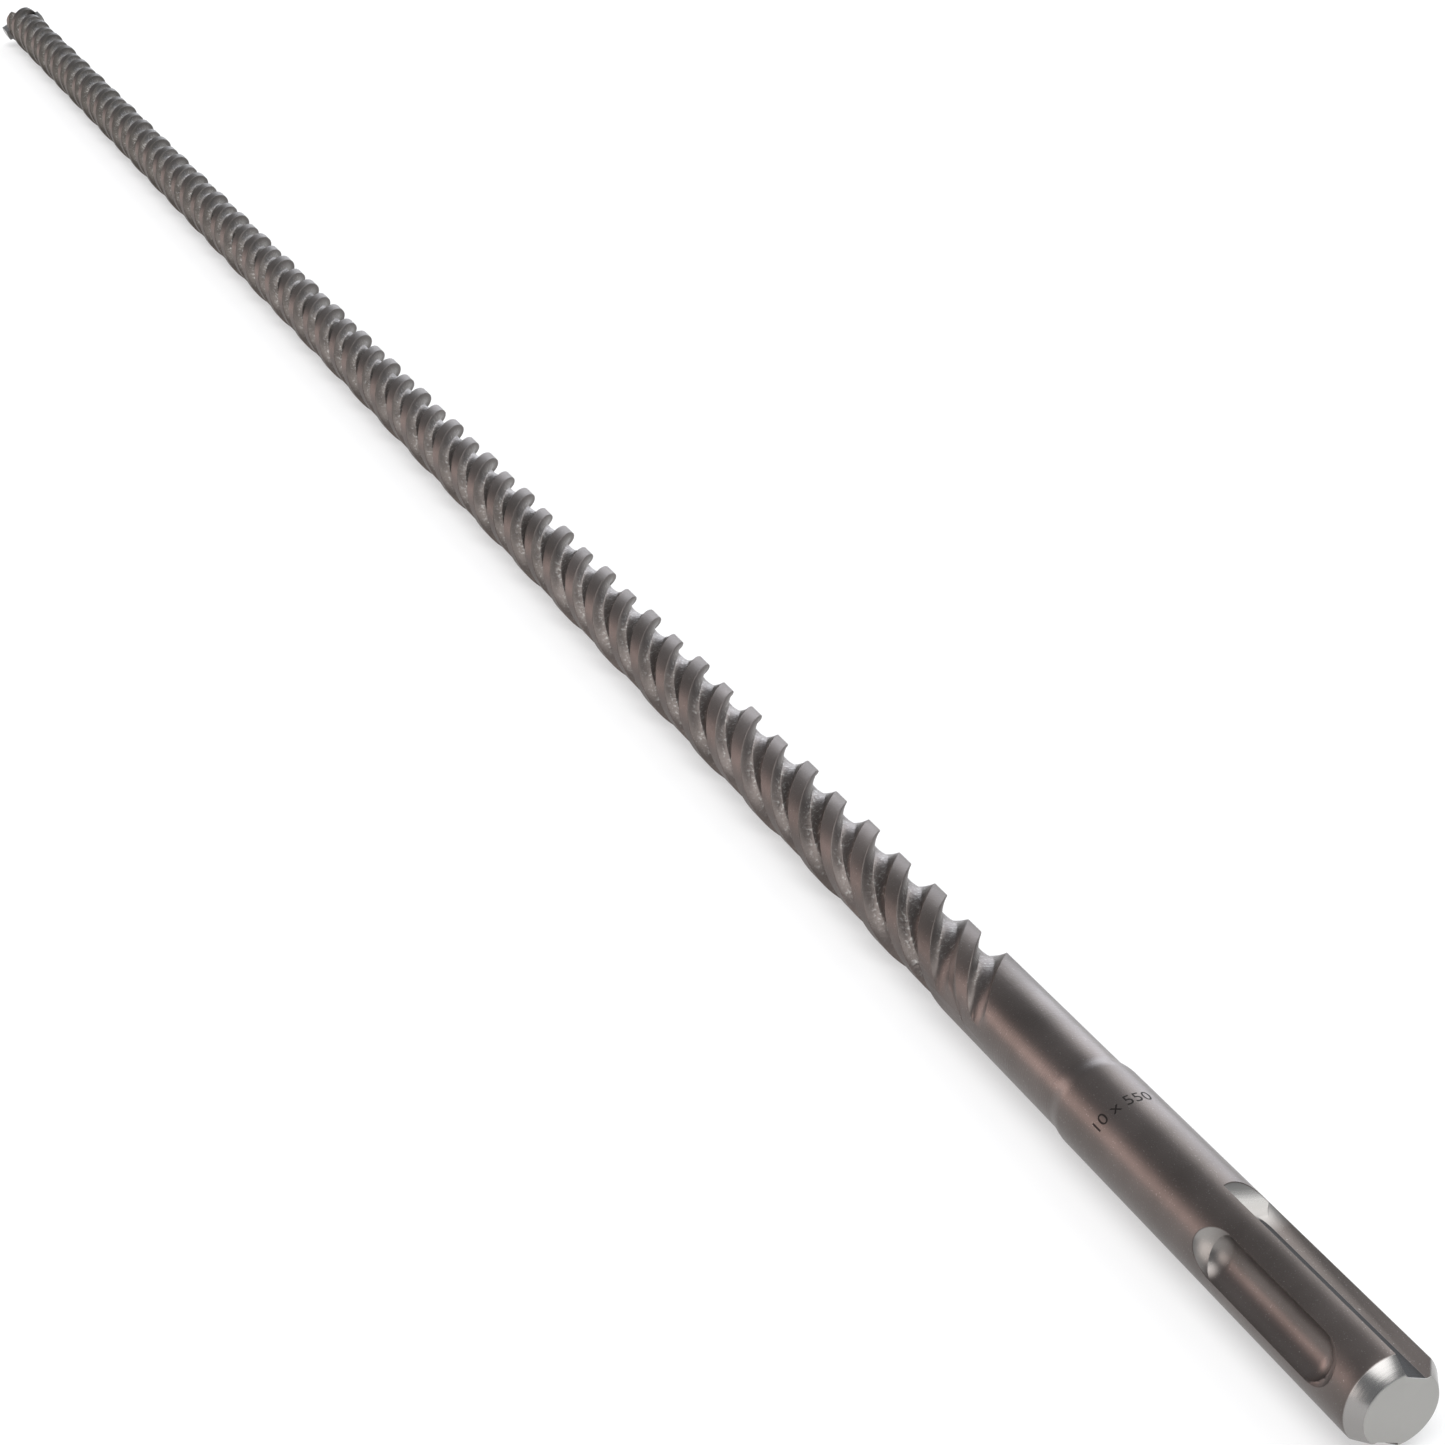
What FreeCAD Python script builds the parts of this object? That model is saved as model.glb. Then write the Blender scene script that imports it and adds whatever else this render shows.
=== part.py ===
import FreeCAD, Part
import math
import os

# Hammer drill bit with a slotted 10 mm shank, a four-land right-hand flute and a brazed carbide tip.
# Millimetres. The bit lies along +X with its tip at +X and +Z up. The origin is on its axis, in the middle
# of the shank's round length, where a chuck holds it.
# It is built standing on its shank end, with z as the distance along the axis, and laid down at the end.
# An angle about the axis is 0 where the bit's upper side will be, and grows towards its -Y side.

# Driving dimensions: lengths along the axis, from the shank end
TOTAL_LENGTH = 615.0
SHANK_LENGTH = 50.6
NECK_START = 52.2
FLUTES_WHOLE_FROM = 87.0

# Driving dimensions: diameters
SHANK_DIAMETER = 10.0
NECK_DIAMETER = 9.4
TIP_DIAMETER = 10.6

# Shank end
END_FACE_DIAMETER = 7.8
END_CHAMFER_LENGTH = 1.7

# The shank's round surface is two faces. The seam between them puts the middle of each on whole steel,
# just past the slots and just short of the closed grooves
SHANK_SEAM_MARGIN = 0.03

# Flutes: two tall lands and two low ones, a quarter turn apart
FLUTE_LEAD = 33.63
TALL_LAND_ANGLE_AT_SHANK_END = 150.0
TALL_LAND_DIAMETER = 9.36
LOW_LAND_DIAMETER = 8.8
LAND_HALF_ANGLE = 16.5
CORE_DIAMETER = 6.0
FLOOR_RISE = 0.15
FACE_WALL_ANGLE = 7.5
FLOOR_END_ANGLE = 60.0

# Flute run-outs: each pair of flutes climbs out of the neck over its own stretch
LONG_FLUTE_END = 67.3
SHORT_FLUTE_END = 75.0
RUNOUT_LENGTH = 10.5
RUNOUT_SKEW = 1.4
LOW_LAND_END = 69.0
LOW_LAND_FADE = 8.0
TALL_LAND_FADE = 14.0
RUNOUT_MARGIN = 1.5
RUNOUT_STEPS = 16

# Open driving slots: two, each the other turned half a turn. A section corner is a height and a sideways
# place, in a frame turned with the slot's floor
SLOT_LENGTH = 28.6
SLOT_RUNOUT_RADIUS = 11.5
SLOT_RUNOUT_SINK = 0.05
SLOT_FLOOR_ANGLE = 14.0
SLOT_NEAR_EDGE_ANGLE = -1.5
SLOT_FAR_EDGE_ANGLE = 52.0
SLOT_NEAR_FOOT = (3.5, -0.95)
SLOT_CREASE = (3.2, 1.2)
SLOT_FAR_FOOT = (3.32, 2.5)

# Closed ball grooves: two, each the other turned half a turn
GROOVE_ANGLE = -66.5
GROOVE_START = 4.2
GROOVE_END = 26.1
GROOVE_WIDTH = 5.1
GROOVE_LIP_DEPTH = 0.22
GROOVE_LIP_AT_ENDS = 0.5
GROOVE_BALL_RADIUS = 3.5
GROOVE_DEPTH = 1.6

# Carbide tip
POINT_ANGLE = 130.0
TIP_THICKNESS = 2.4
TIP_HEIGHT = 8.0
TIP_ANGLE = 69.0
TIP_RELIEF_ANGLE = 22.0
CHEEK_SETBACK = 1.3

# Values that follow from the driving ones
SHANK_RADIUS = SHANK_DIAMETER / 2
NECK_RADIUS = NECK_DIAMETER / 2
TALL_LAND_RADIUS = TALL_LAND_DIAMETER / 2
LOW_LAND_RADIUS = LOW_LAND_DIAMETER / 2
CLEAR_RADIUS = NECK_RADIUS / math.cos(math.radians(LAND_HALF_ANGLE))
RUNOUTS_FROM = LONG_FLUTE_END - RUNOUT_MARGIN
CORE_RADIUS = CORE_DIAMETER / 2
FLOOR_END_RADIUS = CORE_RADIUS + FLOOR_RISE
TIP_RADIUS = TIP_DIAMETER / 2
END_FACE_RADIUS = END_FACE_DIAMETER / 2
STEP_BULGE = (SHANK_RADIUS - NECK_RADIUS) * math.sqrt(0.5)
POINT_SLOPE = 1.0 / math.tan(math.radians(POINT_ANGLE / 2))
RELIEF_SLOPE = math.tan(math.radians(TIP_RELIEF_ANGLE))
TIP_SEAT = TOTAL_LENGTH - TIP_HEIGHT
SHANK_MIDDLE = (END_CHAMFER_LENGTH + SHANK_LENGTH) / 2
SHANK_SEAM = 2 * (SLOT_LENGTH + SHANK_SEAM_MARGIN) - SHANK_LENGTH
FULL_TURN = 360.0
HALF_TURN = 180.0
QUARTER_TURN = 90.0
TOOL_SIZE = 40.0
OVERCUT = 1.0
JOIN_TOLERANCE = 0.001

AXIS = FreeCAD.Vector(0, 0, 1)
ORIGIN = FreeCAD.Vector(0, 0, 0)


def polar(radius, angle, z=0.0):
    """A point at an angle in degrees about the bit's axis."""
    a = math.radians(angle)
    return FreeCAD.Vector(radius * math.cos(a), radius * math.sin(a), z)


def turned(shape, angle):
    """A copy of a shape turned about the bit's axis."""
    copy = shape.copy()
    copy.rotate(ORIGIN, AXIS, angle)
    return copy


def pair(shape):
    """A shape and the same shape half a turn on."""
    return [shape, turned(shape, HALF_TURN)]


def prism(points, length):
    """A polygon carried along the bit's axis."""
    return Part.Face(Part.makePolygon(points + points[:1])).extrude(AXIS * length)


def tall_land_angle(z):
    """Where the middle of the first tall land stands at a distance from the shank end."""
    return TALL_LAND_ANGLE_AT_SHANK_END + FULL_TURN * z / FLUTE_LEAD


def turned_shank():
    """The turned part of the body: end chamfer, shank, rounded step and the plain stretch of the neck."""
    step_middle = FreeCAD.Vector(NECK_RADIUS + STEP_BULGE, 0, (SHANK_LENGTH + NECK_START) / 2)
    shank_edge = FreeCAD.Vector(SHANK_RADIUS, 0, SHANK_LENGTH)
    neck_edge = FreeCAD.Vector(NECK_RADIUS, 0, NECK_START)
    step = Part.Arc(shank_edge, step_middle, neck_edge).toShape()
    start = Part.makePolygon([
        ORIGIN,
        FreeCAD.Vector(END_FACE_RADIUS, 0, 0),
        FreeCAD.Vector(SHANK_RADIUS, 0, END_CHAMFER_LENGTH),
        FreeCAD.Vector(SHANK_RADIUS, 0, SHANK_SEAM),
        shank_edge,
    ])
    finish = Part.makePolygon([
        neck_edge,
        FreeCAD.Vector(NECK_RADIUS, 0, RUNOUTS_FROM),
        FreeCAD.Vector(0, 0, RUNOUTS_FROM),
        ORIGIN,
    ])
    outline = Part.Wire(start.Edges + [step] + finish.Edges)
    return Part.Face(outline).revolve(ORIGIN, AXIS, FULL_TURN)


def flute_foot(whole_radius, z, end):
    """The radius at z of a corner of a flute's floor, which climbs out through the neck at end."""
    before = max(0.0, (end + RUNOUT_LENGTH - z) / RUNOUT_LENGTH)
    return whole_radius + (NECK_RADIUS - whole_radius) * before ** 2


def land_edge(whole_radius, z, end, fade):
    """The radius at z of the two edges of a land, whose flat top leaves the round neck at end."""
    before = max(0.0, (end + fade - z) / fade)
    return whole_radius + (CLEAR_RADIUS - whole_radius) * before ** 2


def section(z):
    """The section at z as a closed wire of sixteen corners: the neck is round where they pass out of it."""
    tall = land_edge(TALL_LAND_RADIUS, z, FLUTES_WHOLE_FROM - TALL_LAND_FADE, TALL_LAND_FADE)
    low = land_edge(LOW_LAND_RADIUS, z, LOW_LAND_END, LOW_LAND_FADE)
    corners = []
    for start, edge, next_edge, end in (
        (0.0, tall, low, SHORT_FLUTE_END),
        (QUARTER_TURN, low, tall, LONG_FLUTE_END),
    ):
        corners += [
            (edge, start + LAND_HALF_ANGLE),
            (flute_foot(CORE_RADIUS, z, end + RUNOUT_SKEW), start + LAND_HALF_ANGLE + FACE_WALL_ANGLE),
            (flute_foot(FLOOR_END_RADIUS, z, end), start + FLOOR_END_ANGLE),
            (next_edge, start + QUARTER_TURN - LAND_HALF_ANGLE),
        ]
    turn = tall_land_angle(z)
    points = [polar(r, turn + a + side, z) for side in (0.0, HALF_TURN) for r, a in corners]
    return Part.makePolygon(points + points[:1])


def runouts():
    """The end of the neck, where the flutes and the low lands climb out of the steel towards the shank."""
    length = FLUTES_WHOLE_FROM - RUNOUTS_FROM
    places = [RUNOUTS_FROM + length * k / RUNOUT_STEPS for k in range(RUNOUT_STEPS + 1)]
    twisted = Part.makeLoft([section(z) for z in places], True, False)
    return twisted.common(Part.makeCylinder(NECK_RADIUS, length, AXIS * RUNOUTS_FROM))


def fluted_rod():
    """The four-land rod, its section carried along the axis and turned by the helix."""
    length = TOTAL_LENGTH - FLUTES_WHOLE_FROM
    foot = AXIS * FLUTES_WHOLE_FROM
    spine = Part.Wire(Part.makeLine(foot, foot + AXIS * length))
    helix = Part.Wire(Part.makeHelix(FLUTE_LEAD, length, TALL_LAND_RADIUS).Edges)
    helix.translate(foot)
    sweep = Part.BRepOffsetAPI.MakePipeShell(spine)
    sweep.setAuxiliarySpine(helix, True, 0)
    sweep.add(section(FLUTES_WHOLE_FROM))
    sweep.build()
    sweep.makeSolid()
    return sweep.shape()


def slot_tool():
    """What one open slot takes out of the shank: a creased floor between two walls, ended by a disc's arc."""
    across = polar(1.0, SLOT_FLOOR_ANGLE + QUARTER_TURN)
    up = polar(1.0, SLOT_FLOOR_ANGLE)
    floor = [up * h + across * t for h, t in (SLOT_NEAR_FOOT, SLOT_CREASE, SLOT_FAR_FOOT)]
    near, far = [polar(SHANK_RADIUS, a) for a in (SLOT_NEAR_EDGE_ANGLE, SLOT_FAR_EDGE_ANGLE)]
    near_out = near + (near - floor[0])
    far_out = far + (far - floor[-1])
    section = [p - AXIS * OVERCUT for p in [near_out] + floor + [far_out]]
    channel = prism(section, SLOT_LENGTH + 2 * OVERCUT)

    disc_bottom = SLOT_CREASE[0] - SLOT_RUNOUT_SINK
    disc_rise = SHANK_RADIUS - disc_bottom
    reach = math.sqrt(SLOT_RUNOUT_RADIUS ** 2 - (SLOT_RUNOUT_RADIUS - disc_rise) ** 2)
    disc_z = SLOT_LENGTH - reach
    centre = up * (disc_bottom + SLOT_RUNOUT_RADIUS) + AXIS * disc_z
    disc = Part.makeCylinder(SLOT_RUNOUT_RADIUS, TOOL_SIZE, centre - across * TOOL_SIZE / 2, across)
    straight = Part.makeCylinder(TOOL_SIZE, disc_z + OVERCUT, AXIS * -OVERCUT)
    return channel.common(straight.fuse(disc))


def groove_tools():
    """What one closed groove takes out of the shank: a shallow lip, and the round trough inside it."""
    out = polar(1.0, GROOVE_ANGLE)
    half_width = GROOVE_WIDTH / 2
    lip_ends = (GROOVE_START + half_width, GROOVE_END - half_width)
    lip = Part.makeBox(TOOL_SIZE, GROOVE_WIDTH, lip_ends[1] - lip_ends[0])
    lip.translate(FreeCAD.Vector(0, -half_width, lip_ends[0]))
    lip = turned(lip, GROOVE_ANGLE)
    lip = lip.fuse([Part.makeCylinder(half_width, TOOL_SIZE, AXIS * z, out) for z in lip_ends])
    lip = lip.cut(Part.makeCylinder(SHANK_RADIUS - GROOVE_LIP_DEPTH, TOOL_SIZE))

    ball_height = SHANK_RADIUS - GROOVE_DEPTH + GROOVE_BALL_RADIUS
    reach = math.sqrt(GROOVE_BALL_RADIUS ** 2 - (ball_height - SHANK_RADIUS) ** 2)
    first = out * ball_height + AXIS * (GROOVE_START + GROOVE_LIP_AT_ENDS + reach)
    last = out * ball_height + AXIS * (GROOVE_END - GROOVE_LIP_AT_ENDS - reach)
    trough = Part.makeCylinder(GROOVE_BALL_RADIUS, last.z - first.z, first)
    trough = trough.fuse([Part.makeSphere(GROOVE_BALL_RADIUS, p) for p in (first, last)])
    return [lip, trough]


def plate_blank(thickness, width, foot):
    """A flat bar across the axis at the tip's angle, from foot to past the point."""
    bar = Part.makeBox(width, thickness, TOTAL_LENGTH - foot + OVERCUT)
    bar.translate(FreeCAD.Vector(-width / 2, -thickness / 2, foot))
    return turned(bar, TIP_ANGLE)


def front_tool():
    """What the turned front leaves off the rod: all that lies outside a cone set back behind the point."""
    apex = TOTAL_LENGTH - CHEEK_SETBACK
    outline = [
        FreeCAD.Vector(0, 0, apex),
        FreeCAD.Vector(TIP_DIAMETER, 0, apex - TIP_DIAMETER * POINT_SLOPE),
        FreeCAD.Vector(TIP_DIAMETER, 0, TOTAL_LENGTH + OVERCUT),
        FreeCAD.Vector(0, 0, TOTAL_LENGTH + OVERCUT),
    ]
    return Part.Face(Part.makePolygon(outline + outline[:1])).revolve(ORIGIN, AXIS, FULL_TURN)


def drill_body():
    """Shank, neck and fluted rod in one piece of steel, with the seat for the carbide plate."""
    cutters = pair(slot_tool())
    for tool in groove_tools():
        cutters += pair(tool)
    shank = turned_shank().cut(cutters)
    rod = fluted_rod().cut([front_tool(), plate_blank(TIP_THICKNESS, TOOL_SIZE, TIP_SEAT)])
    return shank.fuse([runouts(), rod], JOIN_TOLERANCE)


def carbide_tip():
    """The brazed plate: round outer edges, and a roof whose two halves slope back from the cutting edges."""
    bar = plate_blank(TIP_THICKNESS, TIP_DIAMETER, TIP_SEAT)
    bar = bar.common(Part.makeCylinder(TIP_RADIUS, TOTAL_LENGTH + 2 * OVERCUT))
    along = FreeCAD.Vector(1, 0, -POINT_SLOPE) * TIP_DIAMETER
    back = FreeCAD.Vector(0, 1, RELIEF_SLOPE) * TIP_DIAMETER
    half_thickness = TIP_THICKNESS / 2
    edge = FreeCAD.Vector(0, half_thickness, TOTAL_LENGTH + half_thickness * RELIEF_SLOPE)
    corners = [edge - along - back, edge + along - back, edge + along + back, edge - along + back]
    return bar.cut(pair(turned(prism(corners, TOOL_SIZE), TIP_ANGLE)))


def laid_down(shape):
    """The shape with the bit's axis along +X and the middle of the shank's round length at the origin."""
    copy = shape.copy()
    copy.rotate(ORIGIN, FreeCAD.Vector(1, 0, 1), HALF_TURN)
    copy.translate(FreeCAD.Vector(-SHANK_MIDDLE, 0, 0))
    return copy


os.makedirs("parts", exist_ok=True)
laid_down(drill_body()).exportStep("parts/drill_body.step")
laid_down(carbide_tip()).exportStep("parts/carbide_tip.step")
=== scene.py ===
"""A hammer drill bit on a plain pale floor: the fluted steel body, the carbide plate brazed into its head
and the size etched into its shank."""
import math

import bmesh
import bpy
from bpy.props import FloatProperty, FloatVectorProperty, PointerProperty, StringProperty
from mathutils import Matrix, Vector


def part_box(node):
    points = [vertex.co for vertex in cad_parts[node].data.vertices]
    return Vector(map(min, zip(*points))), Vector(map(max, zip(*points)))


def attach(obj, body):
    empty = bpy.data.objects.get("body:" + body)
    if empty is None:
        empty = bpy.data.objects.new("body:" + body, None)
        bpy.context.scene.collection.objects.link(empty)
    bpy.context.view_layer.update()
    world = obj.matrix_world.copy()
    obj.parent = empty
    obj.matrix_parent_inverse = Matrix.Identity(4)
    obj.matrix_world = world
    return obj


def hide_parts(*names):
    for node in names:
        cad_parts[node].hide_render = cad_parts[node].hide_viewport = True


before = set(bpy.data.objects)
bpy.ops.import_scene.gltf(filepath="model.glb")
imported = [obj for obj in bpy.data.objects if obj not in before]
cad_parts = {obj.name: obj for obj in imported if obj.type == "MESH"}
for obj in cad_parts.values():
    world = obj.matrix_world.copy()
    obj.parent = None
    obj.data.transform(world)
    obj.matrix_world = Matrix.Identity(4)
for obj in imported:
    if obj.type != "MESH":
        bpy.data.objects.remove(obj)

bl_info = {
    "name": "Hammer Drill Bit",
    "version": (1, 0, 0),
    "blender": (4, 5, 0),
    "location": "3D View > Sidebar > Drill Bit",
    "description": "Builds a long masonry drill bit with its stage",
    "category": "Add Mesh",
}

MM = 0.001
BODY_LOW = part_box("drill_body")[0]
TIP_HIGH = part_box("carbide_tip")[1]

# Where the bit's ends are along X, from the solids: the shank's end face and the point of the plate
SHANK_END = BODY_LOW[0]
POINT = TIP_HIGH[0]

# Lengths along the bit are measured from the shank's end face. An angle about the axis is 0 on top and
# grows towards -Y, which is a positive turn about +X
AXIS = Vector((1, 0, 0))
UP = Vector((0, 0, 1))
FULL_TURN = math.tau
HALF_TURN = math.pi
QUARTER_TURN = math.pi / 2

# How fine the meshes are
DOUBLES = 0.0005 * MM
TINY = 1e-6
SHARP = math.radians(28.0)
ROUND_STEPS = 96
BALL_STEPS = 16
DISC_STEPS = 72
SHANK_RING = 1.0 * MM
RING_STEP = 0.55 * MM
SECTION_STEP = 0.62 * MM
MARK_STEP = 0.25 * MM

# How far edges are rounded over, how steep a cut's edge is to be rounded, and the segments of the bands
EDGE_ROUNDING = 0.12 * MM
STEP_ROUNDING = 0.45 * MM
CUT_ROUNDING = 0.09 * MM
CORNER_ROUNDING = 0.12 * MM
PLATE_ROUNDING = 0.04 * MM
CUT_EDGE = math.radians(40.0)
BAND_SEGMENTS = 2
EDGE_SEGMENTS = 3
STEP_SEGMENTS = 6

# How far a cutter reaches past what it cuts, and how far the etched size stands over the skin
CUTTER_REACH = 1.0 * MM
MARK_RELIEF = 0.006 * MM

# Where a land's round top stops, where the rod's stretches meet, and where the tall lands grow out
LAND_EDGE = math.radians(1.0)
RUNOUT_MARGIN = 1.5 * MM
TALL_LAND_FADE = 14.0 * MM
HEAD_LENGTH = 14.0 * MM

# Corners of the open slot's floor: heights and sideways places in a frame turned with the floor
SLOT_FEET = ((3.5 * MM, -0.95 * MM), (3.2 * MM, 1.5 * MM))
SLOT_DISC_SINK = 0.05 * MM

# The cone of the end's chamfer, by which the finish tells bare metal from the tempered skin
END_FACE_RADIUS = 3.9 * MM
CHAMFER_SLOPE = 1.1 / 1.7

# Where the middle of a slot faces, by which the painted shade tells the slots from the grooves
SLOT_SIDE = math.radians(25.25)

# Where the finishes, the painted shade and the painted highlight change along the bit, from and to, as
# distances from the shank's end face
END_FACE_DEPTH = (0.05 * MM, 0.1 * MM)
CHAMFER_END = (1.6 * MM, 1.75 * MM)
BARE_AND_HIGHLIGHT_STRETCH = (20.0 * MM, 30.0 * MM)
SLOT_SHADE_END = (24.4 * MM, 25.2 * MM)
TURNED_FROM = (50.0 * MM, 53.0 * MM)
FLUTED_FROM = (66.0 * MM, 76.0 * MM)
HEAD_SHADE = (140.0 * MM, 520.0 * MM)

# Where they change across it, from and to: radii, the depth under the chamfer's cone, and the reach
# towards a slot's side
FLUTE_FLOOR = (4.3 * MM, 3.5 * MM)
SUNK_RADIUS = (4.9 * MM, 4.97 * MM)
# A slot's bottom and the reach towards its side place the painted shade in the slots
SLOT_BOTTOM = (3.5 * MM, 3.53 * MM)
SLOT_REACH = (2.8 * MM, 3.0 * MM)
CHAMFER_SKIN = (-0.15 * MM, -0.08 * MM)

# Sizes of the finishes' patterns. On real steel the blasted grain is about 0.05 mm, the specks and the
# turning feed about 0.1 mm, and sintered carbide's grain is a few thousandths of a millimetre. These are
# too fine to show in the render, so they are drawn as coarse as they need to show
TINT_PATCH = 9.0 * MM
PIT = 0.45 * MM
SPECK = 0.17 * MM
BLASTED_GRAIN = 0.13 * MM
TURNING_FEED = 0.22 * MM
CARBIDE_GRAIN = 0.15 * MM

# How the patterns' noise becomes tints, specks, painted glints and the painted highlight of the bare ends
TINT_STOPS = (0.3, 0.7)
SPECK_STOPS = ((0.64, 0.0), (0.8, 0.45))
GLINT_NOISE = (0.54, 0.7)
GLINT_SHARE = 0.45
BARE_AND_HIGHLIGHT_STOPS = ((0.25, 0.0), (0.5, 0.45), (0.6, 0.55), (0.7, 0.85), (0.95, 0.4), (1.0, 0.0))

# Roughness of each finish, and the height and strength of its relief
SKIN_ROUGHNESS = 0.36
LAND_ROUGHNESS = 0.52
FLOOR_ROUGHNESS_CHANGE = -0.12
BARE_ROUGHNESS = 0.24
END_FACE_ROUGHNESS = 0.55
CARBIDE_ROUGHNESS = 0.33
ETCHED_ROUGHNESS = 0.6
CARD_ROUGHNESS = 0.9
GRAIN_HEIGHT = 0.02 * MM
GRAIN_STRENGTH = (0.5, 0.1)
PIT_HEIGHT = 0.06 * MM
MARK_HEIGHT = 0.02 * MM
MARK_STRENGTH = (0.15, 0.7)
CARBIDE_HEIGHT = 0.01 * MM
CARBIDE_STRENGTH = 0.15

# Stage: half the floor's side in metres, the share of it that is seen as plain white, where the camera
# looks, and the room's own light
FLOOR_SIZE = 2.0
WHITE = (1.0, 1.0, 1.0, 1.0)
WHITE_SHARE = 0.5
VIEW_DIRECTION = (0.8185, -0.3636, -0.4448)
SENSOR_WIDTH = 36.0
CLIP_START = 0.01
ROOM_COLOUR = "#dfe3e8"
ROOM_STRENGTH = 0.46

# Soft boxes: name, where each hangs, the cosines at its edge and where it is whole, strength and colour
SOFTBOXES = (
    ("above", (-0.15, 0.15, 0.97), 0.86, 0.94, 3.2, "#ffffff"),
    ("above right", (0.4, -0.63, 0.67), 0.91, 0.985, 3.2, "#ffffff"),
    ("left", (0.0, 1.0, 0.2), 0.90, 0.95, 2.0, "#fff6f2"),
    ("ahead left", (0.82, 0.57, 0.0), 0.92, 0.98, 4.2, "#ffe3dc"),
    ("ahead right", (0.82, -0.57, 0.1), 0.92, 0.98, 4.2, "#eef3fc"),
)


class ShankSizes(bpy.types.PropertyGroup):
    """Sizes of the turned shank and of the slots and grooves in it."""
    diameter: FloatProperty(name="Diameter", description="Across the shank", default=10.0 * MM, unit="LENGTH")
    length: FloatProperty(
        name="Length", description="Shank, up to its step", default=50.6 * MM, unit="LENGTH")
    neck_start: FloatProperty(
        name="Neck start", description="End of the step", default=52.2 * MM, unit="LENGTH")
    neck_diameter: FloatProperty(name="Neck", description="Across the neck", default=9.4 * MM, unit="LENGTH")
    end_face: FloatProperty(
        name="End face", description="Across the flat end", default=7.8 * MM, unit="LENGTH")
    end_chamfer: FloatProperty(name="End chamfer", description="Its length", default=1.7 * MM, unit="LENGTH")
    slot_length: FloatProperty(name="Slot length", description="Open slot", default=28.6 * MM, unit="LENGTH")
    slot_disc: FloatProperty(
        name="Slot run-out", description="Radius of the open slot's run-out",
        default=11.5 * MM, unit="LENGTH")
    slot_floor_angle: FloatProperty(
        name="Slot floor", description="Where the slot's floor faces",
        default=math.radians(14.0), subtype="ANGLE")
    slot_near_angle: FloatProperty(
        name="Slot near edge", description="Angle of the slot's near edge",
        default=math.radians(-1.5), subtype="ANGLE")
    slot_far_angle: FloatProperty(
        name="Slot far edge", description="Angle of the slot's far edge",
        default=math.radians(52.0), subtype="ANGLE")
    groove_angle: FloatProperty(
        name="Groove", description="Where the closed groove's middle faces",
        default=math.radians(-66.5), subtype="ANGLE")
    groove_start: FloatProperty(name="Groove start", description="Its lip", default=4.2 * MM, unit="LENGTH")
    groove_end: FloatProperty(name="Groove end", description="Its lip", default=26.1 * MM, unit="LENGTH")
    groove_depth: FloatProperty(name="Groove depth", description="Trough", default=2.0 * MM, unit="LENGTH")
    groove_ball: FloatProperty(
        name="Groove ball", description="Trough radius", default=2.9 * MM, unit="LENGTH")
    lead_in_depth: FloatProperty(
        name="Lead-in depth", description="Lip's trough", default=1.3 * MM, unit="LENGTH")
    lead_in_ball: FloatProperty(
        name="Lead-in ball", description="Lip's radius", default=5.0 * MM, unit="LENGTH")
    front_lip: FloatProperty(
        name="Front lip", description="Lip at the end face", default=0.8 * MM, unit="LENGTH")
    rear_lip: FloatProperty(
        name="Rear lip", description="Lip at the far end", default=1.15 * MM, unit="LENGTH")


class FluteSizes(bpy.types.PropertyGroup):
    """Sizes of the four lands and the flutes between them."""
    lead: FloatProperty(name="Lead", description="Length of one turn", default=33.63 * MM, unit="LENGTH")
    start_angle: FloatProperty(
        name="Start", description="Where the tall land would stand at the shank's end",
        default=math.radians(150.0), subtype="ANGLE")
    tall_land: FloatProperty(name="Tall lands", description="Across them", default=9.36 * MM, unit="LENGTH")
    low_land: FloatProperty(name="Low lands", description="Across them", default=8.8 * MM, unit="LENGTH")
    land_half: FloatProperty(
        name="Land half angle", description="Half the angle that a land takes",
        default=math.radians(16.5), subtype="ANGLE")
    core: FloatProperty(name="Core", description="Across the core", default=6.0 * MM, unit="LENGTH")
    floor_rise: FloatProperty(
        name="Floor rise", description="Over the floor", default=0.15 * MM, unit="LENGTH")
    wall_angle: FloatProperty(
        name="Wall", description="Angle that the steep wall takes",
        default=math.radians(7.5), subtype="ANGLE")
    floor_end: FloatProperty(
        name="Floor end", description="Where the floor starts to rise",
        default=math.radians(60.0), subtype="ANGLE")
    whole_from: FloatProperty(name="Whole from", description="Flutes whole", default=87.0 * MM, unit="LENGTH")
    long_end: FloatProperty(name="Long flutes", description="Their end", default=67.3 * MM, unit="LENGTH")
    short_end: FloatProperty(name="Short flutes", description="Their end", default=75.0 * MM, unit="LENGTH")
    runout: FloatProperty(name="Run-out", description="Its length", default=10.5 * MM, unit="LENGTH")
    skew: FloatProperty(name="Run-out skew", description="Wall side", default=1.4 * MM, unit="LENGTH")
    low_land_end: FloatProperty(
        name="Low land end", description="On the neck", default=69.0 * MM, unit="LENGTH")
    low_land_fade: FloatProperty(
        name="Low land fade", description="Its length", default=8.0 * MM, unit="LENGTH")


class TipSizes(bpy.types.PropertyGroup):
    """Sizes of the carbide plate and of the head that holds it."""
    width: FloatProperty(name="Width", description="Across the plate", default=10.6 * MM, unit="LENGTH")
    thickness: FloatProperty(name="Thickness", description="Of the plate", default=2.4 * MM, unit="LENGTH")
    height: FloatProperty(name="Height", description="Seat to point", default=8.0 * MM, unit="LENGTH")
    angle: FloatProperty(
        name="Angle", description="Where the plate's edge faces", default=math.radians(69.0), subtype="ANGLE")
    point: FloatProperty(
        name="Point", description="Angle of the point", default=math.radians(130.0), subtype="ANGLE")
    relief: FloatProperty(
        name="Relief", description="Slope behind an edge", default=math.radians(22.0), subtype="ANGLE")
    setback: FloatProperty(
        name="Setback", description="Steel behind the point", default=1.3 * MM, unit="LENGTH")


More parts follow.
